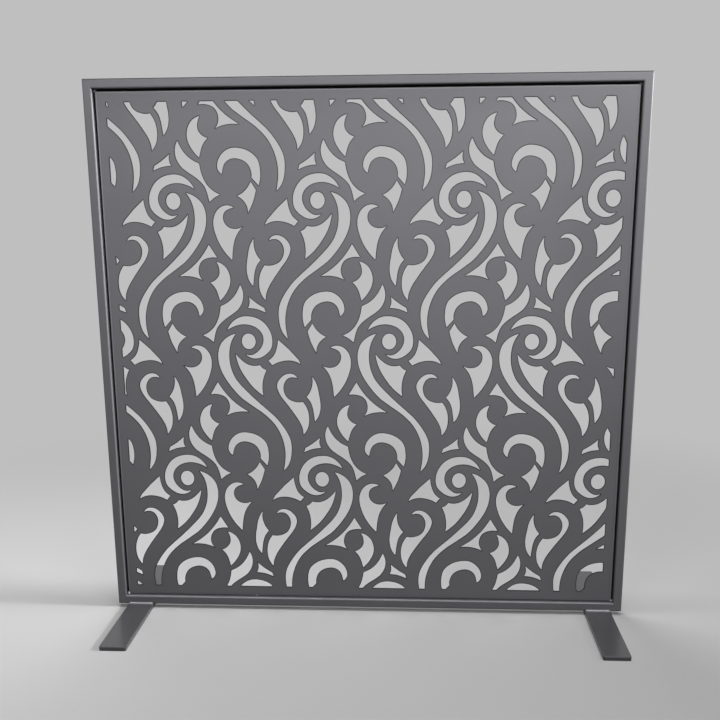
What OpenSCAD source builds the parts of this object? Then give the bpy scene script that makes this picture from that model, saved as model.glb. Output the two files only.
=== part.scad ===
// Free-standing screen: a laser-cut steel panel with a scroll pattern, set in a
// welded square-tube frame that stands on two flat-bar feet.
// X runs across the screen, Y runs from its front (-Y) to its back, Z is up.
// The origin is on the floor, under the middle of the screen.

/* [Frame] */
// Width of the frame over its stiles
frame_w = 1500; // [900:10:1800]
// Height of the frame over its rails, without the feet
frame_h = 1500; // [900:10:1800]
// Side of the square tube
tube_side = 25; // [20:1:40]
// Wall of the tube
tube_wall = 2; // [1.5:0.5:3]
// Outer corner radius of the tube
tube_round = 4; // [3.5:0.5:5]

/* [Rebate] */
// Width of the flat bar behind the edge of the panel
stop_w = 20; // [12:1:26]
// Thickness of that flat bar, which lies flush with the back of the tube
stop_t = 5; // [3:0.5:6]

/* [Panel] */
// Thickness of the sheet
sheet_t = 3; // [2:0.5:5]
// Gap between the panel and each stile
side_gap = 4; // [2:0.5:6]
// Gap between the panel and the bottom rail
bottom_gap = 1.5; // [1:0.5:6]
// Gap between the panel and the top rail
top_gap = 6.5; // [2:0.5:8]
// Uncut border of the sheet, outside the pattern
plain_border = 28; // [20:1:60]

/* [Pattern] */
// Distance from one eye to the next along a row
pitch_across = 396.5; // [396:0.5:460]
// Distance from one row of eyes down to the next row of the same hand
pitch_down = 790; // [788:1:860]
// Drop from a row to the mirrored row under it
mirror_drop = 386; // [383:1:400]
// Shift to the right of the eyes of a mirrored row
mirror_shift = 195; // [190:1:198]
// First eye, from the left edge of the sheet
first_eye_in = 197; // [0:1:396]
// First row of eyes, from the top edge of the sheet
first_eye_down = 287; // [0:1:400]
// Width of an eye
eye_w = 39.5; // [30:0.5:42]
// Height of an eye
eye_h = 44.5; // [30:0.5:46]
// Largest turn between two facets of a curved edge, in degrees
facet_turn = 12; // [12:1:20]
// Least width of the part of a cut-out that the border leaves; a narrower one isn't cut
least_cut = 4; // [2:0.5:12]

/* [Feet] */
// Length of a foot, from front to back
foot_l = 600; // [400:10:800]
// Width of a foot
foot_w = 75; // [50:5:100]
// Thickness of a foot
foot_t = 12; // [8:1:20]
// Distance from the outside of the frame in to a foot
foot_inset = 31; // [0:1:200]
// Radius of a foot's corners, seen from above
foot_corner = 6; // [2:1:10]
// Radius of a foot's long top edges
foot_edge = 1.5; // [1:0.5:3]
// Chamfer on the top edge at each end of a foot
foot_chamfer = 2.5; // [1:0.5:4]

/* [Welds] */
// Radius of the bead that joins a foot to the bottom rail
bead_r = 5; // [4.5:0.5:8]
// How far that bead reaches in under the round edge of the rail
bead_root = 2.5; // [1:0.5:3]
// Radius of the blob at each corner of the panel
tack_r = 6.5; // [6:0.5:8]
// Radius of the blob on the panel's bottom edge
edge_tack_r = 5; // [4:0.5:7]
// Place of that blob, from the left edge of the sheet
edge_tack_in = 389; // [50:1:700]

/* [Hidden] */
$fn = 48;

paint = "#7c7d80";
foot_paint = "#6f7072";
weld_paint = "#939496";

// The hole in the frame, and the heights of its edges
opening_w = frame_w - 2 * tube_side;
opening_low = foot_t + tube_side;
opening_top = foot_t + frame_h - tube_side;
opening_h = opening_top - opening_low;

// The sheet stands between the stops and the front of the frame
panel_w = opening_w - 2 * side_gap;
panel_h = opening_h - bottom_gap - top_gap;
panel_left = -panel_w / 2;
panel_low = opening_low + bottom_gap;
stop_front = tube_side / 2 - stop_t;
panel_front = stop_front - sheet_t;

// Part of the sheet that may be cut
cut_left = plain_border;
cut_right = panel_w - plain_border;
cut_low = plain_border;
cut_top = panel_h - plain_border;

foot_x = frame_w / 2 - foot_inset - foot_w / 2;

// Enough to carry a cutting shape past the face that it cuts
past = 1;

// ---------------------------------------------------------------- the pattern
// Each cut-out is a ring of points, [across, up] from the centre of its eye.
// A third number marks a sharp corner; between corners the edge is a curve.

fish_leaf = [[83, 222, 1], [76, 203], [76, 188], [85, 174], [102, 165, 1], [86, 144], [81, 129],
    [77, 114, 1], [57, 138], [47, 160], [47, 185], [60, 210]];

splinter = [[-4, 125, 1], [-26, 107], [-47, 94, 1], [-51, 81, 1], [-32, 89], [-1, 94, 1], [-6, 108]];

wave = [[19, 159, 1], [28, 140], [45, 118], [76, 99, 1], [80, 77], [93, 46], [111, 27], [130, 17, 1],
    [116, 10], [100, -3, 1], [96, 15], [87, 40], [54, 70], [30, 87], [16, 107], [11, 129], [13, 145]];

hook = [[137, 71, 1], [126, 84], [127, 104], [140, 125], [162, 138], [188, 138], [217, 127],
    [234, 111], [242, 80], [241, 56], [237, 40, 1], [218, 61, 1], [217, 79], [205, 100],
    [186, 110], [164, 111], [146, 99], [139, 81]];

ribbon = [[36, 22, 1], [60, 12], [80, -8], [89, -41], [83, -80], [60, -123], [23, -166],
    [-30, -204], [-67, -240], [-87, -278], [-96, -325], [-95, -349], [-90, -379, 1],
    [-105, -360], [-114, -323], [-112, -287], [-97, -255], [-67, -216], [-27, -180],
    [13, -141], [38, -112], [53, -77], [57, -40], [50, -2]];

crescent = [[60, 32, 1], [45, 54], [23, 68], [-8, 70], [-37, 59], [-57, 37], [-67, 5],
    [-63, -20], [-48, -37], [-20, -49], [-3, -46], [10, -36, 1], [-7, -39], [-24, -30],
    [-37, -14], [-42, 4], [-37, 24], [-22, 39], [-5, 46], [18, 48], [41, 42]];

kite = [[215, 51, 1], [229, 28, 1], [220, -3], [205, -33, 1], [202, -13], [191, 3], [177, 13, 1],
    [194, 23]];

fin = [[-83, 5, 1], [-139, -51, 1], [-146, -65, 1], [-126, -56], [-96, -56], [-65, -68, 1],
    [-54, -55, 1], [-71, -39], [-79, -19]];

shield = [[39, -35, 1], [24, -52], [2, -67], [-30, -68, 1], [-38, -77], [-48, -82, 1],
    [-40, -101], [-35, -130], [-37, -157, 1], [-12, -136], [10, -108], [27, -79], [36, -52]];

tusk = [[166, -18, 1], [150, -12], [133, -15], [117, -29], [108, -57], [113, -89], [130, -127],
    [157, -160, 1], [160, -130], [168, -99], [189, -69, 1], [168, -75], [148, -69], [136, -49],
    [141, -29], [154, -21]];

tadpole = [[-136, -106, 1], [-126, -95], [-108, -93], [-89, -104], [-77, -126], [-82, -148],
    [-103, -179], [-132, -220], [-147, -250], [-150, -271, 1], [-163, -250], [-167, -226],
    [-160, -190], [-150, -174, 1], [-124, -173], [-106, -163], [-96, -143], [-98, -120],
    [-111, -105], [-125, -103]];

willow_leaf = [[219, -100, 1], [207, -121], [200, -152], [196, -186], [201, -213], [213, -232, 1],
    [217, -200], [223, -178], [236, -160, 1], [224, -142], [218, -120]];

thorn = [[93, -117, 1], [115, -153, 1], [92, -153], [73, -161], [62, -182], [63, -200],
    [72, -215, 1], [49, -206], [20, -203], [6, -204, 1], [30, -189], [55, -168], [78, -141]];

// Direction of a vector
function unit(v) = v / norm(v);

// Point i of a ring, which closes on itself, without its corner mark
function spot(ring, i) = let (p = ring[(i + len(ring)) % len(ring)]) [p.x, p.y];

function sharp(ring, i) = len(ring[(i + len(ring)) % len(ring)]) == 3;

// Direction from point i to the next
function chord(ring, i) = unit(spot(ring, i + 1) - spot(ring, i));

// Direction, at point i, of the circle through it and the points on either side
function along(ring, i) =
    let (before = spot(ring, i) - spot(ring, i - 1), after = spot(ring, i + 1) - spot(ring, i))
    unit(before * (after * after) + after * (before * before));

// A direction as it is at the other end of a round arc on the same chord
function mirrored_in(direction, line) = 2 * (direction * line) * line - direction;

// Direction in which the edge leaves point i, and in which it reaches point i
function leaving(ring, i) = !sharp(ring, i) ? along(ring, i)
    : sharp(ring, i + 1) ? chord(ring, i)
    : mirrored_in(along(ring, i + 1), chord(ring, i));
function reaching(ring, i) = !sharp(ring, i) ? along(ring, i)
    : sharp(ring, i - 1) ? chord(ring, i - 1)
    : mirrored_in(along(ring, i - 1), chord(ring, i - 1));

// Point at share t of the curve from a to b, whose handles end at c and d
function on_curve(a, c, d, b, t) =
    a * pow(1 - t, 3) + 3 * c * t * pow(1 - t, 2) + 3 * d * t * t * (1 - t) + b * pow(t, 3);

// The edge from point i to the next, as points; on a round stretch it keeps to the arc
function stretch(ring, i) =
    let (
        a = spot(ring, i),
        b = spot(ring, i + 1),
        start = leaving(ring, i),
        end = reaching(ring, i + 1),
        line = chord(ring, i),
        reach = norm(b - a) * 2 / 3,
        c = a + start * reach / (1 + start * line),
        d = b - end * reach / (1 + end * line),
        turn = acos(min(1, start * end)),
        steps = max(1, ceil(turn / facet_turn))
    )
    [for (k = [0 : steps - 1]) on_curve(a, c, d, b, k / steps)];

function outline(ring) = [for (i = [0 : len(ring) - 1]) each stretch(ring, i)];

// The eye is a little taller than it is wide
eye_steps = ceil(360 / facet_turn);
eye_outline = [for (k = [0 : eye_steps - 1])
    [eye_w / 2 * cos(360 * k / eye_steps), eye_h / 2 * sin(360 * k / eye_steps)]];

cut_outs = concat([eye_outline], [for (ring = [fish_leaf, splinter, wave, hook, ribbon, crescent,
    kite, fin, shield, tusk, tadpole, willow_leaf, thorn]) outline(ring)]);

// Least and greatest value on one axis, 0 or 1, of a shape's points
function lowest(shape, axis) = min([for (p = shape) p[axis]]);
function highest(shape, axis) = max([for (p = shape) p[axis]]);

// How far the cut-outs reach from their eye, to either side, up and down
motif_across = max([for (shape = cut_outs) max(highest(shape, 0), -lowest(shape, 0))]);
motif_up = max([for (shape = cut_outs) highest(shape, 1)]);
motif_down = -min([for (shape = cut_outs) lowest(shape, 1)]);

// Rows are counted down from the first; every second row is mirrored
function is_mirrored(row) = abs(row) % 2 == 1;
function row_hand(row) = is_mirrored(row) ? -1 : 1;
function row_up(row) = panel_h - first_eye_down - floor(row / 2) * pitch_down
    - (is_mirrored(row) ? mirror_drop : 0);
function eye_across(row, column) = first_eye_in + column * pitch_across
    + (is_mirrored(row) ? mirror_shift : 0);

// Enough rows and columns to cover the sheet, wherever the first eye lies
first_row = -2 * ceil((first_eye_down + motif_down) / pitch_down);
last_row = 2 * ceil((panel_h + motif_up) / pitch_down);
first_column = -ceil((first_eye_in + mirror_shift + motif_across) / pitch_across);
last_column = ceil((panel_w + motif_across) / pitch_across);

function placed(shape, row, column) = [for (p = shape)
    [eye_across(row, column) + row_hand(row) * p.x, row_up(row) + p.y]];

// A cut-out lies inside the part that may be cut, crosses its border or is left out
function is_inside(shape) = lowest(shape, 0) > cut_left && highest(shape, 0) < cut_right
    && lowest(shape, 1) > cut_low && highest(shape, 1) < cut_top;
function is_left_out(shape) = lowest(shape, 0) > cut_right - least_cut
    || highest(shape, 0) < cut_left + least_cut || lowest(shape, 1) > cut_top - least_cut
    || highest(shape, 1) < cut_low + least_cut;

all_cuts = [for (row = [first_row : last_row]) for (column = [first_column : last_column])
    for (shape = cut_outs) let (cut = placed(shape, row, column)) if (!is_left_out(cut)) cut];
whole_cuts = [for (cut = all_cuts) if (is_inside(cut)) cut];
border_cuts = [for (cut = all_cuts) if (!is_inside(cut)) cut];

module pattern() {
    for (cut = whole_cuts) polygon(cut);
    intersection() {
        translate([cut_left, cut_low]) square([cut_right - cut_left, cut_top - cut_low]);
        for (cut = border_cuts) polygon(cut);
    }
}

module screen_panel() {
    color(paint)
    translate([panel_left, panel_front + sheet_t, panel_low])
    rotate([90, 0, 0])
    linear_extrude(sheet_t)
    difference() {
        square([panel_w, panel_h]);
        pattern();
    }
}

// ------------------------------------------------------------------ the frame

// A square with round corners, centred
module rounded_square(side, radius) {
    square([side, side - 2 * radius], center = true);
    square([side - 2 * radius, side], center = true);
    for (x = [-1, 1]) for (y = [-1, 1])
        translate([x, y] * (side / 2 - radius)) circle(radius);
}

module tube_section() {
    difference() {
        rounded_square(tube_side, tube_round);
        rounded_square(tube_side - 2 * tube_wall, tube_round - tube_wall);
    }
}

// A length of tube along X, mitred at both ends, with its short side up
module mitred_tube(length) {
    half = length / 2;
    edge = tube_side / 2 + past;
    intersection() {
        rotate([90, 0, 90]) linear_extrude(length + 2 * past, center = true) tube_section();
        rotate([90, 0, 0])
        linear_extrude(tube_side + 2 * past, center = true)
        polygon([[-half - past, -edge], [half + past, -edge],
            [half - tube_side - past, edge], [-half + tube_side + past, edge]]);
    }
}

module bottom_rail() {
    color(paint)
    translate([0, 0, foot_t + tube_side / 2])
    mitred_tube(frame_w);
}

module top_rail() {
    color(paint)
    translate([0, 0, foot_t + frame_h - tube_side / 2])
    rotate([0, 180, 0])
    mitred_tube(frame_w);
}

module stile(side) {
    color(paint)
    translate([side * (frame_w - tube_side) / 2, 0, foot_t + frame_h / 2])
    rotate([0, -side * 90, 0])
    mitred_tube(frame_h);
}

// The stops make a rebate: the long ones lie along the rails, the short ones stand between
module rail_stop(low) {
    color(paint)
    translate([-opening_w / 2, stop_front, low])
    cube([opening_w, stop_t, stop_w]);
}

module stile_stop(left) {
    color(paint)
    translate([left, stop_front, opening_low + stop_w])
    cube([stop_w, stop_t, opening_h - 2 * stop_w]);
}

// ------------------------------------------------------------------ the welds

// The space in front of the stops and inside the tubes, less the sheet
module weld_room() {
    difference() {
        translate([-opening_w / 2, -tube_side / 2, opening_low])
        cube([opening_w, stop_front + tube_side / 2, opening_h]);
        translate([panel_left, panel_front, panel_low])
        cube([panel_w, sheet_t + past, panel_h]);
    }
}

// A blob between a corner of the sheet and the frame; side and up are -1 or 1
module corner_tack(side, up) {
    gap_middle_up = up > 0 ? opening_top - top_gap / 2 : opening_low + bottom_gap / 2;
    color(weld_paint)
    intersection() {
        translate([side * (opening_w - side_gap) / 2, stop_front, gap_middle_up]) sphere(tack_r);
        weld_room();
    }
}

module edge_tack() {
    color(weld_paint)
    intersection() {
        translate([panel_left + edge_tack_in, stop_front, opening_low + bottom_gap / 2])
        sphere(edge_tack_r);
        weld_room();
    }
}

// ------------------------------------------------------------------- the feet

module foot(side) {
    chamfer_side = foot_chamfer * sqrt(2);
    color(foot_paint)
    translate([side * foot_x, 0, 0])
    difference() {
        intersection() {
            linear_extrude(foot_t) foot_plan();
            rotate([90, 0, 0]) linear_extrude(foot_l + 2 * past, center = true) foot_section();
        }
        for (end = [-1, 1])
            translate([0, end * foot_l / 2, foot_t])
            rotate([45, 0, 0])
            cube([foot_w + 2 * past, chamfer_side, chamfer_side], center = true);
    }
}

module foot_plan() {
    square([foot_w, foot_l - 2 * foot_corner], center = true);
    square([foot_w - 2 * foot_corner, foot_l], center = true);
    for (x = [-1, 1]) for (y = [-1, 1])
        translate([x * (foot_w / 2 - foot_corner), y * (foot_l / 2 - foot_corner)])
        circle(foot_corner);
}

module foot_section() {
    translate([-foot_w / 2, 0]) square([foot_w, foot_t - foot_edge]);
    translate([-foot_w / 2 + foot_edge, 0]) square([foot_w - 2 * foot_edge, foot_t]);
    for (x = [-1, 1]) translate([x * (foot_w / 2 - foot_edge), foot_t - foot_edge]) circle(foot_edge);
}

// A bead across the foot, in the notch under the round edge of the rail; end is -1 or 1
module foot_bead(side, end) {
    bead_l = foot_w - 2 * foot_edge;
    color(weld_paint)
    translate([side * foot_x, 0, foot_t])
    rotate([90, 0, 90])
    linear_extrude(bead_l, center = true)
    mirror([end < 0 ? 1 : 0, 0])
    difference() {
        intersection() {
            translate([tube_side / 2, 0]) circle(bead_r);
            translate([tube_side / 2 - bead_root, 0]) square(bead_root + bead_r);
        }
        translate([0, tube_side / 2]) rounded_square(tube_side, tube_round);
    }
}

top_rail();
bottom_rail();
stile(-1);  // left_stile
stile(1);  // right_stile
rail_stop(opening_top - stop_w);  // top_stop
rail_stop(opening_low);  // bottom_stop
stile_stop(-opening_w / 2);  // left_stop
stile_stop(opening_w / 2 - stop_w);  // right_stop
screen_panel();
corner_tack(-1, 1);  // top_left_tack
corner_tack(1, 1);  // top_right_tack
corner_tack(-1, -1);  // bottom_left_tack
corner_tack(1, -1);  // bottom_right_tack
edge_tack();  // bottom_edge_tack
foot(-1);  // left_foot
foot(1);  // right_foot
foot_bead(-1, -1);  // left_foot_front_bead
foot_bead(-1, 1);  // left_foot_rear_bead
foot_bead(1, -1);  // right_foot_front_bead
foot_bead(1, 1);  // right_foot_rear_bead
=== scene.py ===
# %% [markdown]
# # A free-standing laser-cut screen
#
# The object is a steel sheet with a scroll pattern cut through it by a laser. The sheet
# stands in a frame of square tube, and the frame stands on two flat bars. Short blobs and
# beads of weld hold it all together, and one coat of grey paint covers everything.
#
# The imported model already holds every piece at its real size and place. This script keeps
# those sizes and gives the pieces what a size can't: rounded edges, the ripples of a weld,
# and paint with its fine skin and small faults, and with shade and highlights painted into
# its colour. It works in metres, as the model does.

# %% Load the model
import math

import bmesh
import bpy
from mathutils import Matrix, Vector


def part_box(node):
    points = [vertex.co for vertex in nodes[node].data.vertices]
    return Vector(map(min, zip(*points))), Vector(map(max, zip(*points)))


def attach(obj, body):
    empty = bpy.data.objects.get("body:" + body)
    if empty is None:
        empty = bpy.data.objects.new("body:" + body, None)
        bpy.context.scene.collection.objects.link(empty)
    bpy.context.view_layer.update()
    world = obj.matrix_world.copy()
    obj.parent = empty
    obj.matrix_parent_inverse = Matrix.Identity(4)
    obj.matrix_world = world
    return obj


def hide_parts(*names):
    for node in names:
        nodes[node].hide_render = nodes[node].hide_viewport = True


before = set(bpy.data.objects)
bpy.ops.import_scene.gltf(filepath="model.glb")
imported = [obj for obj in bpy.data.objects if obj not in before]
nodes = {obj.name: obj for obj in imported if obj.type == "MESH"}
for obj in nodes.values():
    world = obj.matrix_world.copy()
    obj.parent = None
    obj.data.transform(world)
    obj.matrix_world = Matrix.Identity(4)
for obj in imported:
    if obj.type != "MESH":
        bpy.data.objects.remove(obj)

MM = 0.001
scene = bpy.context.scene
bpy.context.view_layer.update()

# %% [markdown]
# ## The camera
#
# The photograph was taken from a little right of the middle and from about four fifths of
# the screen's height, with the camera tilted down. The place, the three angles and the
# lens were worked out from the frame's straight outer edges. The picture's centre lies
# above the lens's axis, as in a cropped photograph, and the vertical shift says so.
# Blender's camera looks straight down until it is turned, so the tilt starts from a
# quarter turn.

# %% Place the camera
EYE = Vector((0.1372, -2.6543, 1.2012))
TURN_LEFT = math.radians(3.301)
TILT_DOWN = math.radians(13.690)
LEAN = math.radians(-0.414)
LENS_MM = 47.8
SHIFT_UP = 0.0971
QUARTER_TURN = math.pi / 2

camera = bpy.data.objects.new("camera", bpy.data.cameras.new("camera"))
scene.collection.objects.link(camera)
scene.camera = camera
camera.data.lens = LENS_MM
camera.data.shift_y = SHIFT_UP
turn = Matrix.Rotation(TURN_LEFT, 4, "Z")
tilt = Matrix.Rotation(QUARTER_TURN - TILT_DOWN, 4, "X")
lean = Matrix.Rotation(LEAN, 4, "Z")
camera.matrix_world = Matrix.Translation(EYE) @ turn @ tilt @ lean
print("camera looks along", [round(x, 3) for x in -(turn @ tilt @ lean).col[2].xyz])

# %% [markdown]
# ## Nodes from Python expressions
#
# A material or a geometry tree is a set of small nodes, and building one by hand takes a
# line for each link. The class Wire wraps an output, so that an expression such as
# `1 - mask * 0.3` adds the Math nodes that it needs. Every other kind of node comes from
# Tree.add, which sets the node's own settings first and then its sockets. A mask is a
# value from 0 to 1 that says where something holds. Most of them come from Wire.step and
# a fade: the value at which the mask is 0, and the one at which it is 1.


# %% Wrap a node tree
class Wire:
    """A node's output. Arithmetic on it adds Math nodes to its tree."""

    def __init__(self, home, socket):
        self.home = home
        self.socket = socket

    def maths(self, operation, *others):
        """A Math node that takes this value first."""
        return self.home.maths(operation, self, *others)

    def __add__(self, other):
        return self.maths("ADD", other)

    def __radd__(self, other):
        return self.home.maths("ADD", other, self)

    def __sub__(self, other):
        return self.maths("SUBTRACT", other)

    def __rsub__(self, other):
        return self.home.maths("SUBTRACT", other, self)

    def __mul__(self, other):
        return self.maths("MULTIPLY", other)

    def __rmul__(self, other):
        return self.home.maths("MULTIPLY", other, self)

    def __truediv__(self, other):
        return self.maths("DIVIDE", other)

    def __rtruediv__(self, other):
        return self.home.maths("DIVIDE", other, self)

    def __pow__(self, power):
        return self.maths("POWER", power)

    def __abs__(self):
        return self.maths("ABSOLUTE")

    def __gt__(self, other):
        return self.maths("GREATER_THAN", other)

    def __lt__(self, other):
        return self.maths("LESS_THAN", other)

    def step(self, low, high):
        """0 below low, 1 above high and a smooth rise between; low may be the greater."""
        return self.home.add(
            "ShaderNodeMapRange",
            {"interpolation_type": "SMOOTHSTEP"},
            {"Value": self, "From Min": low, "From Max": high},
        )


class Tree:
    """A node tree that is filled by one call for each node."""

    def __init__(self, tree):
        self.tree = tree

    def pick(self, sockets, key):
        """A socket by its number, or the first one in use that has the name."""
        if isinstance(key, int):
            return sockets[key]
        return next(socket for socket in sockets if socket.name == key and socket.enabled)

    def add(self, kind, settings=None, sockets=None, output=0):
        node = self.tree.nodes.new(kind)
        for name, value in (settings or {}).items():
            setattr(node, name, value)
        for key, value in (sockets or {}).items():
            socket = self.pick(node.inputs, key)
            wires = value if isinstance(value, list) else [value]
            for wire in wires:
                if isinstance(wire, Wire):
                    self.tree.links.new(wire.socket, socket)
                else:
                    socket.default_value = wire
        return Wire(self, self.pick(node.outputs, output)) if node.outputs else None

    def maths(self, operation, *values):
        return self.add("ShaderNodeMath", {"operation": operation}, dict(enumerate(values)))

    def vector(self, operation, *values, output=0):
        settings = {"operation": operation}
        return self.add("ShaderNodeVectorMath", settings, dict(enumerate(values)), output)

    def split(self, vector):
        """The three parts of a vector, as wires."""
        node = self.add("ShaderNodeSeparateXYZ", None, {"Vector": vector}).socket.node
        return [Wire(self, socket) for socket in node.outputs]

    def join(self, x, y, z):
        return self.add("ShaderNodeCombineXYZ", None, {"X": x, "Y": y, "Z": z})

    def blend(self, share, first, second):
        """One colour into another; a share of 1 gives the second."""
        settings = {"data_type": "RGBA"}
        return self.add("ShaderNodeMix", settings, {"Factor": share, "A": first, "B": second}, "Result")


def as_light(part):
    """The sRGB standard's own curve, from a part as the eye sees it to linear light."""
    return part / 12.92 if part <= 0.04045 else ((part + 0.055) / 1.055) ** 2.4


def grey(level, tint=(1.0, 1.0, 1.0)):
    """A grey as the eye sees it, from 0 to 255, as the linear light that shaders use."""
    return (*[as_light(level / 255 * part) for part in tint], 1.0)


print("grey 118 as light:", [round(part, 3) for part in grey(118)])

# %% [markdown]
# ## Paint
#
# Sprayed paint is never a flat colour. It dries with a fine skin like an orange's, holds
# a few specks of dust, and is a little more or less glossy where hands or wiping cloths
# went. All of these are worked out from the place on the object, in metres, so their
# scale is the real one, and none of them needs an image. Every finish below calls this
# paint with masks of its own: one makes it lighter, mostly as a painted highlight, and one
# hides it under a darker colour as painted shade and takes its gloss.

# %% Mix the paint
COOL = (1.0, 0.993, 1.03)
UNSEEN = grey(0)
TONE_DRIFT = 2
WEAR_AND_HIGHLIGHT_LIFT = 26
CLOUD_SIZE = 0.35
HANDLED_SIZE = 0.08
HANDLED_GLOSS = 0.12
PAINTED_SHADE_DULLS = 0.4
PEEL_SIZE = 2.2 * MM
SPECK_SPACING = 45 * MM
SPECK_FADE = (0.014, 0.006)
SPECK_HEIGHT = 0.6
SPECK_SHINE = 0.1
SKIN_DEPTH = 0.1 * MM
SKIN_STRENGTH = 0.5


def new_material(name):
    """A material, its empty tree, and the place of each point on the object."""
    material = bpy.data.materials.new(name)
    material.use_nodes = True
    material.node_tree.nodes.clear()
    tree = Tree(material.node_tree)
    return material, tree, tree.add("ShaderNodeTexCoord", None, None, "Object")


def finished(material, tree, shader):
    tree.add("ShaderNodeOutputMaterial", None, {"Surface": shader})
    print(material.name, "has", len(material.node_tree.nodes), "nodes")
    return material


def facing(tree):
    """The three parts of the direction in which the surface faces."""
    return tree.split(tree.add("ShaderNodeNewGeometry", None, None, "Normal"))


def noise(tree, place, size, detail=2.0, roughness=0.5):
    """Noise whose lumps are about size metres across, around 0.5."""
    sockets = {"Vector": place, "Scale": 1 / size, "Detail": detail, "Roughness": roughness}
    return tree.add("ShaderNodeTexNoise", None, sockets, "Fac")


def specks(tree, place):
    """Sparse dots where dust dried into the paint: 1 on a dot and 0 elsewhere."""
    sockets = {"Vector": place, "Scale": 1 / SPECK_SPACING}
    distance = tree.add("ShaderNodeTexVoronoi", {"feature": "F1"}, sockets, "Distance")
    return distance.step(*SPECK_FADE)


def paint(tree, place, tone, roughness, peel, wear_and_highlight=0.0, painted_shade=0.0, painted_shade_colour=UNSEEN, relief=0.0):
    """The paint's shader. tone is a grey, peel the skin's height and relief adds to it."""
    cloud = noise(tree, place, CLOUD_SIZE, detail=3.0)
    handled = noise(tree, place, HANDLED_SIZE, detail=4.0, roughness=0.6)
    dots = specks(tree, place)
    skin = noise(tree, place, PEEL_SIZE) * peel + dots * SPECK_HEIGHT + relief
    darker, lighter = grey(tone - TONE_DRIFT, COOL), grey(tone + TONE_DRIFT, COOL)
    colour = tree.blend(cloud.step(0.3, 0.7), darker, lighter)
    # The first mask lightens the paint, mostly as a painted highlight; the second darkens it under
    # another colour as painted shade.
    colour = tree.blend(wear_and_highlight, colour, grey(tone + WEAR_AND_HIGHLIGHT_LIFT, COOL))
    colour = tree.blend(painted_shade, colour, painted_shade_colour)
    gloss = roughness + (handled - 0.5) * HANDLED_GLOSS + painted_shade * PAINTED_SHADE_DULLS - dots * SPECK_SHINE
    sockets = {"Height": skin, "Distance": SKIN_DEPTH, "Strength": SKIN_STRENGTH}
    bump = tree.add("ShaderNodeBump", None, sockets)
    sockets = {"Base Color": colour, "Roughness": gloss, "Normal": bump, "Metallic": 0.0}
    return tree.add("ShaderNodeBsdfPrincipled", None, sockets)


print("paint skin:", PEEL_SIZE, "m, specks about", SPECK_SPACING, "m apart")

# %% [markdown]
# ## The frame's finish
#
# Each corner of the frame is a mitre that was welded, ground flush and painted over. The
# grinding leaves a band along the mitre where the paint lies a little smoother. A mitre
# runs at 45 degrees, so the distance to it is how far apart the ways to the side and to
# the top or bottom of the frame are. The lower rail's top face, in front of the sheet,
# gets an uneven painted shade, and the rounding in front of it a painted highlight. The
# deep end of the stiles' inner walls, beside the gap round the sheet, and the lower
# rail's underside, just above the floor, are painted nearly black as painted shade. Along
# the top rail's upper front corner runs a thin dark line of painted shade. Each mask
# joins where a point lies with the way its surface faces.

# %% Paint the tubes
TONE = 118
FRAME_TONE = TONE - 5
# The two colours below are painted shade: the first on the lower rail's ledge, the second nearly black
# in the recesses and underneath.
LEDGE_SHADE_COLOUR = grey(18)
NEAR_BLACK_SHADE = grey(10)
LEDGE_SHADE_SIZE = 0.02
LEDGE_SHADE_LEAST = 0.75
LEDGE_SHADE_RANGE = 0.4
LEDGE_HIGHLIGHT_SHARE = 0.6
FACES_UP = (0.75, 0.95)
FACES_DOWN = (-0.2, -0.6)
FACES_INWARDS = (0.6, 0.9)
ON_UPPER_ROUNDING = (0.2, 0.6)
FROM_MITRE = (9 * MM, 2 * MM)
LEDGE_SHADE_FROM_FRONT = (6 * MM, 8.5 * MM)
LEDGE_HIGHLIGHT_FROM_FRONT = (10 * MM, 7 * MM)
DEEP_SHADE_FROM_FRONT = (6 * MM, 9 * MM)
SHADE_LINE_FROM_FRONT = (4.5 * MM, 3.5 * MM)
SHADE_LINE_FROM_TOP = (4 * MM, 2 * MM)
UNDERSIDE_SHADE_FROM_BELOW = (6 * MM, 5 * MM)
ABOVE_LOWER_RAIL = (2 * MM, -1 * MM)
rail_low, rail_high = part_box("bottom_rail")
top_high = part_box("top_rail")[1]
frame_half = rail_high.x


def from_side_and_end(low, high, x, z):
    """How far a point lies inside a box's sides, and inside its top or bottom."""
    middle = (low.z + high.z) / 2
    half_high = (high.z - low.z) / 2
    return high.x - abs(x), half_high - abs(z - middle)


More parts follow.
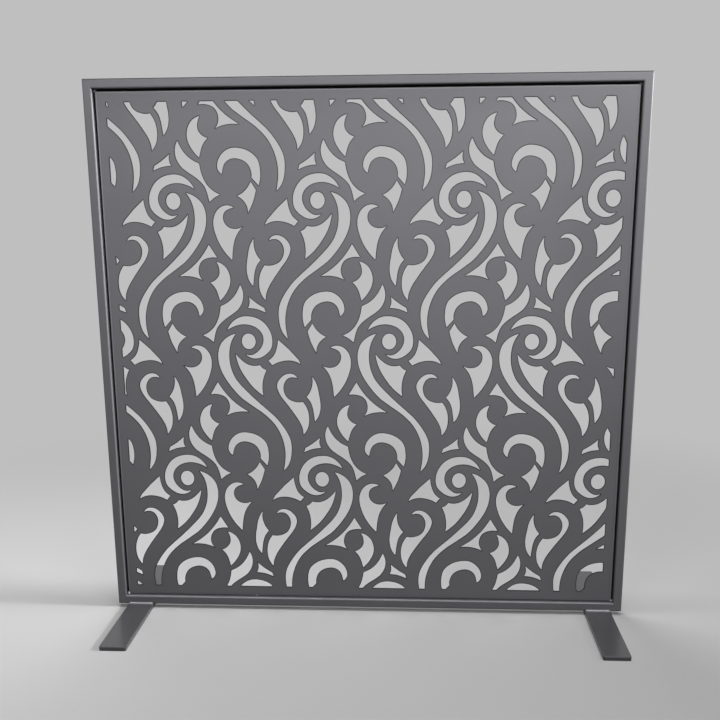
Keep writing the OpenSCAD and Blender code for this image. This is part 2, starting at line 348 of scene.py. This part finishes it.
def make_frame_paint():
    material, tree, place = new_material("frame_grey")
    x, y, z = tree.split(place)
    sideways, _, up = facing(tree)
    from_front = y - rail_low.y
    from_side, from_end = from_side_and_end(rail_low, top_high, x, z)
    ground = abs(from_side - from_end).step(*FROM_MITRE)
    low = (z - rail_high.z).step(*ABOVE_LOWER_RAIL)
    # Painted shade on the lower rail's top face in front of the sheet, made uneven by noise.
    ledge_shade = low * up.step(*FACES_UP) * from_front.step(*LEDGE_SHADE_FROM_FRONT)
    ledge_shade = ledge_shade * (LEDGE_SHADE_LEAST + noise(tree, place, LEDGE_SHADE_SIZE, detail=4.0) * LEDGE_SHADE_RANGE)
    # A painted highlight on the lower rail's front rounding.
    ledge_highlight = low * up.step(*ON_UPPER_ROUNDING) * from_front.step(*LEDGE_HIGHLIGHT_FROM_FRONT)
    inwards = (0 - sideways * x / frame_half).step(*FACES_INWARDS)
    # Nearly black painted shade on the deep end of the stiles' inner walls, under the lower rail, and
    # as a thin line along the top rail's upper front corner.
    deep_shade = inwards * from_front.step(*DEEP_SHADE_FROM_FRONT)
    underside_shade = up.step(*FACES_DOWN) * (z - rail_low.z).step(*UNDERSIDE_SHADE_FROM_BELOW)
    line = (top_high.z - z).step(*SHADE_LINE_FROM_TOP) * from_front.step(*SHADE_LINE_FROM_FRONT)
    black_shade = deep_shade.maths("MAXIMUM", underside_shade).maths("MAXIMUM", line)
    shader = paint(
        tree, place, FRAME_TONE,
        roughness=0.4 - ground * 0.04,
        peel=0.9 - ground * 0.5,
        wear_and_highlight=ledge_highlight * LEDGE_HIGHLIGHT_SHARE,
        painted_shade=ledge_shade.maths("MAXIMUM", black_shade),
        painted_shade_colour=tree.blend(black_shade, LEDGE_SHADE_COLOUR, NEAR_BLACK_SHADE),
    )
    return finished(material, tree, shader)


frame_paint = make_frame_paint()

# %% [markdown]
# ## The sheet's finish
#
# The laser leaves the sheet's faces smooth and draws fine lines straight through the
# thickness of every cut. The cut walls are painted darker than the faces, as painted shade.
# A wall is where the surface doesn't face forward or back, so the normal tells the two
# apart. A thin dark rim of painted shade also goes round every cut-out. The faces
# have no points near the rims that could carry a mask, so the Ambient Occlusion node
# finds them: it sends short rays into the metal, and only near an edge do they come out.
# The rays are shorter than the sheet is thick, or every one would come out at the back.
# The outer edge of the sheet, all but the lower one, gets a painted highlight and has no
# rim.

# %% Paint the sheet
# The cut walls and a rim round every cut-out are darkened as painted shade.
CUT_SHADE_TONE = grey(38)
CUT_SHADE_SHARE = 0.85
SHADE_RIM = 2.8 * MM
SHADE_RIM_RAYS = 8
RAYS_OUT = (0.02, 0.17)
FACES_ASIDE = (0.8, 0.3)
SHADE_RIM_INSET = (4 * MM, 8 * MM)
EDGE_HIGHLIGHT_INSET = (4.5 * MM, 2.5 * MM)
EDGE_HIGHLIGHT_HEIGHT = (5 * MM, 9 * MM)
LASER_LINE = 0.35 * MM
LINE_HEIGHT = 0.8
THROUGH_STRETCH = (1.0, 0.04, 1.0)
BUCKLE_SIZE = 0.5
BUCKLE_HEIGHT = 6.0
panel_low, panel_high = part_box("screen_panel")


def near_edge(tree, reach):
    """1 at a sharp edge of the metal, falling to 0 at about reach metres from it."""
    settings = {"inside": True, "only_local": True, "samples": SHADE_RIM_RAYS}
    unmet = tree.add("ShaderNodeAmbientOcclusion", settings, {"Distance": reach}, "AO")
    return (1 - unmet).step(*RAYS_OUT)


def make_panel_paint():
    material, tree, place = new_material("sheet_grey")
    x, _, z = tree.split(place)
    _, forwards, _ = facing(tree)
    wall = abs(forwards).step(*FACES_ASIDE)
    through = tree.vector("MULTIPLY", place, THROUGH_STRETCH)
    lines = noise(tree, through, LASER_LINE, detail=1.0) * wall
    buckle = noise(tree, place, BUCKLE_SIZE, detail=0.0) * BUCKLE_HEIGHT
    from_side, from_end = from_side_and_end(panel_low, panel_high, x, z)
    inset = from_side.maths("MINIMUM", from_end)
    # A rim of painted shade round every cut-out, and below it a painted highlight along the outer edge.
    rim = near_edge(tree, SHADE_RIM) * inset.step(*SHADE_RIM_INSET)
    # A painted highlight along the sheet's outer edge, all but the lower one.
    edge_highlight = inset.step(*EDGE_HIGHLIGHT_INSET) * (z - panel_low.z).step(*EDGE_HIGHLIGHT_HEIGHT)
    shader = paint(
        tree, place, TONE,
        roughness=0.42 + wall * 0.15,
        peel=0.8,
        wear_and_highlight=edge_highlight,
        painted_shade=(wall * CUT_SHADE_SHARE).maths("MAXIMUM", rim),
        painted_shade_colour=CUT_SHADE_TONE,
        relief=lines * LINE_HEIGHT + buckle,
    )
    return finished(material, tree, shader)


panel_paint = make_panel_paint()

# %% [markdown]
# ## The feet, the stops and the welds
#
# The feet are thicker bar with a smoother face, so the same paint lies glossier on them,
# and its tone on them is set darker as painted shade. Their upper edges get a painted
# highlight in patches. The stops are the flat bars behind the edge of the sheet. Their side
# that faces the narrow gap round the sheet is painted nearly black, as painted shade.
# Welds are rounded, and their paint is set lighter as a painted highlight, with lighter
# patches at random over the ripples.

# %% Paint the feet, the stops and the welds
# The feet's tone is set darker than the rest of the paint, as painted shade.
FOOT_SHADED_TONE = 80
FOOT_HIGHLIGHT_EDGE = (2 * MM, 0.6 * MM)
FOOT_HIGHLIGHT_DEPTH = (2 * MM, 0.0)
FOOT_END_SHARE = 0.4
FOOT_HIGHLIGHT_PATCH_SIZE = 12 * MM
SCUFF_SIZE = 3 * MM
SCUFF_STRETCH = (1.0, 0.08, 1.0)
# Nearly black painted shade for the stops' face towards the gap round the sheet.
GAP_SHADE_COLOUR = grey(12)
FACES_FORWARDS = (-0.2, -0.8)
# Welds get a lighter tone than the rest of the paint, as a painted highlight.
WELD_LIT_TONE = 155
WELD_PATCH_SIZE = 1.5 * MM
foot_low, foot_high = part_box("right_foot")
foot_middle = (foot_low.x + foot_high.x) / 2
foot_half = (foot_high.x - foot_low.x) / 2


def make_foot_paint():
    material, tree, place = new_material("foot_grey")
    x, y, z = tree.split(place)
    from_side = foot_half - abs(abs(x) - foot_middle)
    from_end = (foot_high.y - abs(y)) * FOOT_END_SHARE
    # A painted highlight along the feet's upper edges and ends, in patches.
    edge = from_side.maths("MINIMUM", from_end).step(*FOOT_HIGHLIGHT_EDGE)
    highlight_patches = noise(tree, place, FOOT_HIGHLIGHT_PATCH_SIZE, detail=4.0).step(0.35, 0.7)
    streaks = tree.vector("MULTIPLY", place, SCUFF_STRETCH)
    scuffs = noise(tree, streaks, SCUFF_SIZE, detail=3.0).step(0.62, 0.8)
    shader = paint(
        tree, place, FOOT_SHADED_TONE,
        roughness=0.2 + scuffs * 0.12,
        peel=0.5,
        wear_and_highlight=edge * (foot_high.z - z).step(*FOOT_HIGHLIGHT_DEPTH) * highlight_patches,
    )
    return finished(material, tree, shader)


def make_stop_paint():
    material, tree, place = new_material("stop_grey")
    _, forwards, _ = facing(tree)
    # The face towards the gap round the sheet is painted nearly black, as painted shade.
    black_shade = forwards.step(*FACES_FORWARDS)
    shader = paint(
        tree, place, TONE,
        roughness=0.38 + black_shade * 0.45,
        peel=0.9,
        painted_shade=black_shade,
        painted_shade_colour=GAP_SHADE_COLOUR,
    )
    return finished(material, tree, shader)


def make_weld_paint():
    material, tree, place = new_material("weld_grey")
    # The weld tone is set lighter as a painted highlight, with lighter patches at random.
    lighter_patches = noise(tree, place, WELD_PATCH_SIZE, detail=3.0).step(0.4, 0.7)
    shader = paint(tree, place, WELD_LIT_TONE, roughness=0.3, peel=0.4, wear_and_highlight=lighter_patches)
    return finished(material, tree, shader)


foot_paint = make_foot_paint()
stop_paint = make_stop_paint()
weld_paint = make_weld_paint()

# %% [markdown]
# ## The cut sheet
#
# The pattern could be drawn again here, but the model already holds it, as the edge of
# the sheet's front face. So the outlines are read from a copy of that mesh, one closed
# ring for each cut-out and one for the sheet itself. A ring turns gently along its
# curves and sharply at its corners, and the angle at each point tells which it is.

# %% Read the outlines of the cut-outs
CORNER_TURN = math.radians(22)
MERGE = 0.01 * MM


def is_front(face):
    return face.normal.y <= -0.9


def front_rings(node):
    """The outlines of the front face, as rings of (across, up), metal on their left."""
    work = bmesh.new()
    work.from_mesh(node.data)
    bmesh.ops.remove_doubles(work, verts=work.verts, dist=MERGE)
    follows = {}
    for face in filter(is_front, work.faces):
        for loop in face.loops:
            beyond = [other for other in loop.edge.link_faces if other != face]
            if not any(map(is_front, beyond)):
                follows[loop.vert] = loop.link_loop_next.vert
    rings = []
    while follows:
        start = next(iter(follows))
        ring = [start]
        while follows[ring[-1]] != start:
            ring.append(follows[ring[-1]])
        for vert in ring:
            del follows[vert]
        rings.append([Vector((vert.co.x, vert.co.z)) for vert in ring])
    work.free()
    return rings


def is_corner(ring, i):
    before = ring[i] - ring[i - 1]
    after = ring[(i + 1) % len(ring)] - ring[i]
    return abs(before.angle_signed(after)) > CORNER_TURN


rings = front_rings(nodes["screen_panel"])
corners = sum(is_corner(ring, i) for ring in rings for i in range(len(ring)))
print("rings:", len(rings), "points:", sum(map(len, rings)), "corners:", corners)

# %% Draw the outlines as curves
def outline_curve(name, rings):
    """Bezier curves through the rings: round through the points, but sharp at corners."""
    curve = bpy.data.curves.new(name, "CURVE")
    curve.dimensions = "3D"
    for ring in rings:
        spline = curve.splines.new("BEZIER")
        spline.bezier_points.add(len(ring) - 1)
        spline.use_cyclic_u = True
        for i, (point, spot) in enumerate(zip(spline.bezier_points, ring)):
            point.co = (spot.x, spot.y, 0)
            handle = "VECTOR" if is_corner(ring, i) else "AUTO"
            point.handle_left_type = point.handle_right_type = handle
    return curve


sheet_outline = outline_curve("sheet_outline", rings)
print("splines:", len(sheet_outline.splines))

# %% [markdown]
# ## A tree that makes a sheet from its outlines
#
# The walls of the cuts follow the outlines, which is work for Geometry Nodes: a profile
# of the sheet's edge is swept along every outline. The profile goes round from the front
# face to the back one, because paint gathers on a cut edge and softens it. The two faces
# are then filled in between the swept walls, so that the sheet is one closed solid.


# %% Build the sheet tree
def geometry_tree(name, inputs):
    """A new geometry tree with named inputs, as {name: (socket type, value)}."""
    group = bpy.data.node_groups.new(name, "GeometryNodeTree")
    group.interface.new_socket("Geometry", in_out="OUTPUT", socket_type="NodeSocketGeometry")
    group.interface.new_socket("Geometry", in_out="INPUT", socket_type="NodeSocketGeometry")
    for label, (kind, value) in inputs.items():
        socket = group.interface.new_socket(label, in_out="INPUT", socket_type=kind)
        socket.default_value = value
    group.interface.new_socket("Material", in_out="INPUT", socket_type="NodeSocketMaterial")
    tree = Tree(group)
    entry = tree.add("NodeGroupInput").socket.node
    return tree, {socket.name: Wire(tree, socket) for socket in entry.outputs if socket.name}


def finish_tree(tree, given, shape):
    """Every tree ends alike: plain geometry, smooth shading and the material."""
    plain = tree.add("GeometryNodeRealizeInstances", None, {"Geometry": shape})
    smooth = tree.add("GeometryNodeSetShadeSmooth", None, {"Geometry": plain})
    sockets = {"Geometry": smooth, "Material": given["Material"]}
    painted = tree.add("GeometryNodeSetMaterial", None, sockets)
    tree.add("NodeGroupOutput", None, {0: painted})
    print(tree.tree.name, "has", len(tree.tree.nodes), "nodes")
    return tree.tree


def edge_profile(tree, thickness, rounding):
    """Six points over the edge of the sheet: three round each side of its thickness."""
    line = tree.add("GeometryNodeCurvePrimitiveLine")
    line = tree.add("GeometryNodeResampleCurve", None, {"Curve": line, "Count": 6})
    index = tree.add("GeometryNodeInputIndex")
    second_side = index > 2.5
    angle = QUARTER_TURN - (index - second_side) * (QUARTER_TURN / 2)
    flat_part = (thickness / 2 - rounding) * (1 - 2 * second_side)
    into_metal = rounding * (angle.maths("COSINE") - 1)
    height = flat_part + rounding * angle.maths("SINE")
    sockets = {"Geometry": line, "Position": tree.join(into_metal, height, 0.0)}
    return tree.add("GeometryNodeSetPosition", None, sockets)


def build_sheet_tree():
    tree, given = geometry_tree(
        "sheet_from_outlines",
        {
            "Thickness": ("NodeSocketFloat", 3 * MM),
            "Edge Rounding": ("NodeSocketFloat", 0.4 * MM),
            "Steps Per Point": ("NodeSocketInt", 2),
            "Merge Distance": ("NodeSocketFloat", MERGE),
        },
    )
    thickness = given["Thickness"]
    sockets = {"Geometry": given["Geometry"], "Resolution": given["Steps Per Point"]}
    outline = tree.add("GeometryNodeSetSplineResolution", None, sockets)
    outline = tree.add("GeometryNodeSetCurveNormal", {"mode": "Z_UP"}, {"Curve": outline})
    profile = edge_profile(tree, thickness, given["Edge Rounding"])
    walls = tree.add("GeometryNodeCurveToMesh", None, {"Curve": outline, "Profile Curve": profile})
    walls = tree.add("GeometryNodeFlipFaces", None, {"Mesh": walls})
    neighbours = tree.add("GeometryNodeInputMeshEdgeNeighbors")
    _, _, height = tree.split(tree.add("GeometryNodeInputPosition"))
    front_rim = (neighbours < 1.5) * (height > 0.0)
    rim = tree.add("GeometryNodeMeshToCurve", None, {"Mesh": walls, "Selection": front_rim})
    face = tree.add("GeometryNodeFillCurve", {"mode": "TRIANGLES"}, {"Curve": rim})
    half = thickness / 2
    up = tree.join(0.0, 0.0, half)
    down = tree.join(0.0, 0.0, 0 - half)
    front = tree.add("GeometryNodeTransform", None, {"Geometry": face, "Translation": up})
    back = tree.add("GeometryNodeTransform", None, {"Geometry": face, "Translation": down})
    back = tree.add("GeometryNodeFlipFaces", None, {"Mesh": back})
    whole = tree.add("GeometryNodeJoinGeometry", None, {"Geometry": [walls, front, back]})
    sockets = {"Geometry": whole, "Distance": given["Merge Distance"]}
    welded = tree.add("GeometryNodeMergeByDistance", None, sockets)
    return finish_tree(tree, given, welded)


sheet_tree = build_sheet_tree()

# %% [markdown]
# ## From a tree to a plain piece
#
# A tree works as a modifier on some object, but a finished piece has to be a plain mesh
# that lies where it belongs. So the tree runs on a host object, its result is copied into
# a mesh of its own, and the host goes. Smooth shading alone would make flat faces look
# swollen, so sharp edges stay sharp and each normal leans towards its largest face.


# %% Turn modifiers into meshes
def grow(name, data, group, sizes, material, place):
    """What a tree makes from the data, as a plain mesh piece put in its place."""
    host = bpy.data.objects.new(name + "_host", data)
    scene.collection.objects.link(host)
    modifier = host.modifiers.new("tree", "NODES")
    modifier.node_group = group
    values = {"Material": material, **sizes}
    for socket in group.interface.items_tree:
        if socket.in_out == "INPUT" and socket.name in values:
            modifier[socket.identifier] = values[socket.name]
    evaluated = host.evaluated_get(bpy.context.evaluated_depsgraph_get())
    mesh = bpy.data.meshes.new_from_object(evaluated)
    mesh.transform(place)
    bpy.data.objects.remove(host)
    piece = bpy.data.objects.new(name, mesh)
    scene.collection.objects.link(piece)
    return piece


def with_modifier(piece, kind, settings):
    """The piece with a modifier worked into its mesh."""
    modifier = piece.modifiers.new(kind, kind)
    for name, value in settings.items():
        setattr(modifier, name, value)
    evaluated = piece.evaluated_get(bpy.context.evaluated_depsgraph_get())
    worked = bpy.data.meshes.new_from_object(evaluated)
    piece.modifiers.clear()
    piece.data = worked
    return piece


def shade(piece, crease=50):
    """Smooth shading that keeps flat faces flat and edges over crease degrees sharp."""
    piece.data.shade_smooth()
    piece.data.set_sharp_from_angle(angle=math.radians(crease))
    return with_modifier(piece, "WEIGHTED_NORMAL", {"keep_sharp": True})


def measure(piece):
    """Triangles and volume of a piece; a bad edge is open, shared by many or turned."""
    work = bmesh.new()
    work.from_mesh(piece.data)
    bad = sum(1 for edge in work.edges if not (edge.is_manifold and edge.is_contiguous))
    triangles = sum(len(face.verts) - 2 for face in work.faces)
    volume = work.calc_volume(signed=True)
    work.free()
    print(piece.name, "triangles:", triangles, "bad edges:", bad, "cm3:", round(volume * 1e6, 2))


# %% Make the sheet
sheet_middle = (panel_low.y + panel_high.y) / 2
stand_up = Matrix.Translation((0, sheet_middle, 0)) @ Matrix.Rotation(QUARTER_TURN, 4, "X")
sheet_sizes = {"Thickness": panel_high.y - panel_low.y}
sheet = shade(grow("cut_sheet", sheet_outline, sheet_tree, sheet_sizes, panel_paint, stand_up))
measure(sheet)
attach(sheet, "root")
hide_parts("screen_panel")

# %% [markdown]
# ## Beads of weld
#
# Four beads hold the feet to the lower rail. A welder lays a bead puddle by puddle, and
# each puddle freezes into a crescent that overlaps the last one. The crescents could be
# modelled one at a time, but they follow a rule: a rod whose distance from the corner of
# the joint rises and falls along its length. So a tree starts from a cylinder, takes each
# point's place along the rod and its angle round it, and works out a new place. The part
# of the rod that lies inside the tube and the foot stays thin.

# %% Build the bead tree
BEAD_FACES = math.radians(70)
BEAD_SHOWN = (0.05, 0.25)
HIDDEN_SHARE = 0.3
END_SHARE = 0.15
ALMOST_ONE = 0.999
DRIFT_SIZE = 9 * MM
DRIFT_RIPPLES = 2.5
BOW = 0.5
LUMP_SIZE = 7 * MM


def crescents(phase):
    """A row of ripples from a phase: each one rises quickly and falls away slowly."""
    part = phase.maths("FRACT")
    return part.step(0.0, 0.3) * (1 - part)


def hollows(tree, place, size, depth):
    """Soft lumps that mostly take metal away, so that a weld stays inside its box."""
    return (noise(tree, place, size) - 0.75) * depth


def build_bead_tree():
    tree, given = geometry_tree(
        "bead_of_weld",
        {
            "Length": ("NodeSocketFloat", 72 * MM),
            "Radius": ("NodeSocketFloat", 5 * MM),
            "Ripple Pitch": ("NodeSocketFloat", 2.4 * MM),
            "Ripple Height": ("NodeSocketFloat", 0.35 * MM),
            "Unevenness": ("NodeSocketFloat", 1.1 * MM),
            "End Length": ("NodeSocketFloat", 4 * MM),
            "Seed": ("NodeSocketInt", 1),
        },
    )
    length, radius = given["Length"], given["Radius"]
    rod = tree.add(
        "GeometryNodeMeshCylinder",
        {"fill_type": "TRIANGLE_FAN"},
        {"Vertices": 30, "Side Segments": 150, "Radius": 1.0, "Depth": length},
    )
    side, top, along = tree.split(tree.add("GeometryNodeInputPosition"))
    from_middle = top.maths("ARCTAN2", side) - BEAD_FACES
    outside = from_middle.maths("COSINE").step(*BEAD_SHOWN)
    beyond = (abs(along) - (length / 2 - given["End Length"])) / given["End Length"]
    beyond = beyond.maths("MAXIMUM", 0.0)
    rounded_end = END_SHARE + (1 - END_SHARE) * (1 - beyond * beyond * ALMOST_ONE) ** 0.5
    drift_place = tree.join(along, given["Seed"] * 0.31, 0.0)
    drift = noise(tree, drift_place, DRIFT_SIZE, detail=1.0) * DRIFT_RIPPLES
    bow = from_middle * from_middle * BOW
    ripple = crescents(along / given["Ripple Pitch"] + drift - bow) * given["Ripple Height"]
    place = tree.join(along, side * 3 * MM, given["Seed"] * 0.17 + top * 3 * MM)
    lumps = hollows(tree, place, LUMP_SIZE, given["Unevenness"])
    thick = (radius - given["Ripple Height"] + ripple + lumps) * outside
    thick = thick + radius * HIDDEN_SHARE * (1 - outside)
    reach = thick * rounded_end
    spot = tree.join(0 - along, 0 - reach * side, reach * top)
    bead = tree.add("GeometryNodeSetPosition", None, {"Geometry": rod, "Position": spot})
    return finish_tree(tree, given, bead)


bead_tree = build_bead_tree()

# %% Lay the beads
blank = bpy.data.meshes.new("blank")
bead_nodes = [name for name in sorted(nodes) if name.endswith("_bead")]
for seed, name in enumerate(bead_nodes, start=1):
    bead_low, bead_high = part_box(name)
    in_front = bead_low.y < rail_low.y
    notch_y = rail_low.y if in_front else rail_high.y
    notch = Matrix.Translation(((bead_low.x + bead_high.x) / 2, notch_y, bead_low.z))
    turned = Matrix.Rotation(0 if in_front else math.pi, 4, "Z")
    sizes = {"Length": bead_high.x - bead_low.x, "Radius": bead_high.z - bead_low.z, "Seed": seed}
    bead = grow("rippled_" + name, blank, bead_tree, sizes, weld_paint, notch @ turned)
    measure(bead)
    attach(bead, "root")
    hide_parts(name)

# %% [markdown]
# ## Tacks of weld
#
# Five short blobs hold the sheet in its frame: one in each corner and one on the lower
# edge. A blob is a drop that froze where it touched, with rings where its rim cooled
# first. It starts as a ball, and the tree moves each point in or out along its own
# direction. The back is pressed flat where the drop lies against the bar behind it.

# %% Build the tack tree
TACK_LUMP_SIZE = 1.1
RINGS_END = (1.7, 1.2)


def build_tack_tree():
    tree, given = geometry_tree(
        "tack_of_weld",
        {
            "Radius": ("NodeSocketFloat", 6.5 * MM),
            "Ring Spacing": ("NodeSocketFloat", 1.6 * MM),
            "Ring Height": ("NodeSocketFloat", 0.25 * MM),
            "Unevenness": ("NodeSocketFloat", 0.35),
            "Seed": ("NodeSocketInt", 1),
        },
    )
    radius = given["Radius"]
    ball = tree.add("GeometryNodeMeshIcoSphere", None, {"Radius": 1.0, "Subdivisions": 5})
    direction = tree.add("GeometryNodeInputPosition")
    across, back, up = tree.split(direction)
    shift = tree.join(given["Seed"] * 3.7, 0.0, given["Seed"] * 1.9)
    place = tree.vector("ADD", direction, shift)
    lumps = hollows(tree, place, TACK_LUMP_SIZE, given["Unevenness"])
    from_front = (0 - back).maths("ARCCOSINE")
    rings = crescents(from_front * radius / given["Ring Spacing"]) * given["Ring Height"]
    reach = (radius - given["Ring Height"]) * (1 + lumps) + rings * from_front.step(*RINGS_END)
    flat_back = (back * reach).maths("MINIMUM", 0.0)
    spot = tree.join(across * reach, flat_back, up * reach)
    blob = tree.add("GeometryNodeSetPosition", None, {"Geometry": ball, "Position": spot})
    return finish_tree(tree, given, blob)


tack_tree = build_tack_tree()

# %% Set the tacks
tack_nodes = [name for name in sorted(nodes) if name.endswith("_tack")]
for seed, name in enumerate(tack_nodes, start=1):
    tack_low, tack_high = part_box(name)
    radius = tack_high.y - tack_low.y
    x = (tack_low.x + tack_high.x) / 2
    if "left" in name:
        x = tack_high.x - radius
    if "right" in name:
        x = tack_low.x + radius
    z = tack_low.z + radius if "top" in name else tack_high.z - radius
    middle = Matrix.Translation((x, tack_high.y, z))
    sizes = {"Radius": radius, "Seed": seed}
    tack = grow("melted_" + name, blank, tack_tree, sizes, weld_paint, middle)
    measure(tack)
    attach(tack, "root")
    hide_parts(name)

# %% [markdown]
# ## The edges of the flat bars
#
# A flat bar comes from the mill with slightly rounded edges, and a file leaves a small
# round along a chamfer. The model's stops and feet have the right shape, but their edges
# are still sharp and catch no light. So a copy of each gets a Bevel. The copy's triangles
# are first merged and dissolved into whole faces, because a Bevel needs edges that are
# joined.

# %% Round the bars' edges
MILL_ROUNDING = 0.6 * MM
FILED_ROUNDING = 0.35 * MM
FLAT_ENOUGH = math.radians(1)


def softened(title, name, width, material):
    """A copy of a node with its edges rounded by width."""
    work = bmesh.new()
    work.from_mesh(nodes[name].data)
    bmesh.ops.remove_doubles(work, verts=work.verts, dist=MERGE)
    bmesh.ops.dissolve_limit(work, angle_limit=FLAT_ENOUGH, verts=work.verts, edges=work.edges)
    mesh = bpy.data.meshes.new(title)
    work.to_mesh(mesh)
    work.free()
    mesh.materials.append(material)
    piece = bpy.data.objects.new(title, mesh)
    scene.collection.objects.link(piece)
    settings = {"width": width, "segments": 2, "limit_method": "ANGLE", "use_clamp_overlap": True}
    return shade(with_modifier(piece, "BEVEL", settings))


for name in ("top_stop", "bottom_stop", "left_stop", "right_stop"):
    stop = softened("rolled_" + name, name, MILL_ROUNDING, stop_paint)
    measure(stop)
    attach(stop, "root")
    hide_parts(name)
for name in ("left_foot", "right_foot"):
    foot = softened("filed_" + name, name, FILED_ROUNDING, foot_paint)
    measure(foot)
    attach(foot, "root")
    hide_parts(name)

# %% [markdown]
# ## The tubes
#
# The four tubes keep the model's own meshes. Their corners are already round, and the
# only thing that they lack is the paint.

# %% Dress the tubes
for name in ("top_rail", "bottom_rail", "left_stile", "right_stile"):
    for slot in nodes[name].material_slots:
        slot.material = frame_paint
    print(name, [slot.material.name for slot in nodes[name].material_slots])

# %% [markdown]
# ## The floor and the world
#
# The floor is pale and plain, and so is the world behind it. Far from the object the
# floor fades into the world's own colour, so that no horizon crosses the picture. A floor
# and a world as pale as that would also light the screen from all sides and drown its
# shadows. So the Light Path node tells the rays apart: the camera and glossy paint see
# the pale colours, and soft light finds a dim floor and a faint world instead. Where the
# camera sees the floor, a little of it glows, so that no shadow on it turns black.

# %% Lay the floor
PALE = grey(192, (1.0, 0.995, 1.0))
DIM = grey(70)
GLOW = 0.04
AMBIENT = 0.035
FLOOR_HALF = 30.0
FLOOR_FADE = (0.9, 2.8)


def seen_directly(tree):
    """1 for a ray from the camera, off a gloss or through glass, and 0 for soft light."""
    path = tree.add("ShaderNodeLightPath").socket.node.outputs
    kinds = ("Is Camera Ray", "Is Glossy Ray", "Is Transmission Ray")
    camera_ray, glossy_ray, through_ray = [Wire(tree, path[kind]) for kind in kinds]
    return (camera_ray + glossy_ray + through_ray).step(0.0, 1.0)


def make_floor():
    half = FLOOR_HALF
    corners = [(-half, -half, 0), (half, -half, 0), (half, half, 0), (-half, half, 0)]
    mesh = bpy.data.meshes.new("floor")
    mesh.from_pydata(corners, [], [(0, 1, 2, 3)])
    floor = bpy.data.objects.new("floor", mesh)
    scene.collection.objects.link(floor)
    material, tree, place = new_material("floor_matt")
    far = tree.vector("LENGTH", place, output="Value").step(*FLOOR_FADE)
    seen = seen_directly(tree)
    matt = tree.add("ShaderNodeBsdfDiffuse", None, {"Color": tree.blend(seen, DIM, PALE)})
    plain = tree.add("ShaderNodeEmission", None, {"Color": PALE})
    share = far.maths("MAXIMUM", GLOW) * seen
    mixed = tree.add("ShaderNodeMixShader", None, {0: share, 1: matt, 2: plain})
    mesh.materials.append(finished(material, tree, mixed))


def make_world():
    world = bpy.data.worlds.new("world")
    world.use_nodes = True
    world.node_tree.nodes.clear()
    tree = Tree(world.node_tree)
    light = tree.blend(seen_directly(tree), (AMBIENT, AMBIENT, AMBIENT, 1.0), PALE)
    background = tree.add("ShaderNodeBackground", None, {"Color": light})
    tree.add("ShaderNodeOutputWorld", None, {"Surface": background})
    scene.world = world


make_floor()
make_world()

# %% [markdown]
# ## The lamps
#
# The screen is lit from above and from the right, and its upper part is the lighter one.
# Five soft lamps do that, and each has one job. The front lamp lights the faces, and the
# weaker fill lifts their left side. The overhead lamp hangs far up, just in front of the
# screen, and draws the light line along the lower rail. From lower down it would light
# the top rail much more than the lower one. The side lamp stands far to the right and
# draws the light line inside the left stile. The rear lamp lights the back and the floor
# behind. A spread below 180 degrees works like blinds: it keeps the light near the line
# to the lamp's aim, so an aim above the screen leaves its lower part darker.


# %% Light the scene
def lamp(name, place, aim, width, depth, watts, spread=180):
    """A soft lamp. A spread below 180 degrees keeps its light near the line to its aim."""
    data = bpy.data.lights.new(name, "AREA")
    data.spread = math.radians(spread)
    data.shape = "RECTANGLE"
    data.size = width
    data.size_y = depth
    data.energy = watts
    light = bpy.data.objects.new(name, data)
    scene.collection.objects.link(light)
    direction = Vector(aim) - Vector(place)
    turned = direction.to_track_quat("-Z", "Y").to_matrix().to_4x4()
    light.matrix_world = Matrix.Translation(place) @ turned
    light.visible_camera = False
    print(name, "lamp:", watts, "W from", round(direction.length, 1), "m")


lamp("front", (1.7, -2.6, 2.6), aim=(0.7, 0.0, 1.8), width=1.8, depth=0.7, watts=24, spread=104)
lamp("fill", (-1.3, -3.2, 3.3), aim=(-0.3, 0.0, 1.7), width=1.4, depth=1.0, watts=7, spread=56)
lamp("overhead", (0.5, -0.33, 7.0), aim=(0.5, -0.33, 0.0), width=3.6, depth=0.5, watts=180)
lamp("side", (6.6, -0.25, 3.5), aim=(-0.7, 0.0, 2.2), width=1.0, depth=1.0, watts=100, spread=38)
lamp("rear", (-1.0, 2.0, 5.2), aim=(0.0, 0.0, 0.9), width=2.5, depth=1.9, watts=130)
scene.view_settings.view_transform = "Standard"
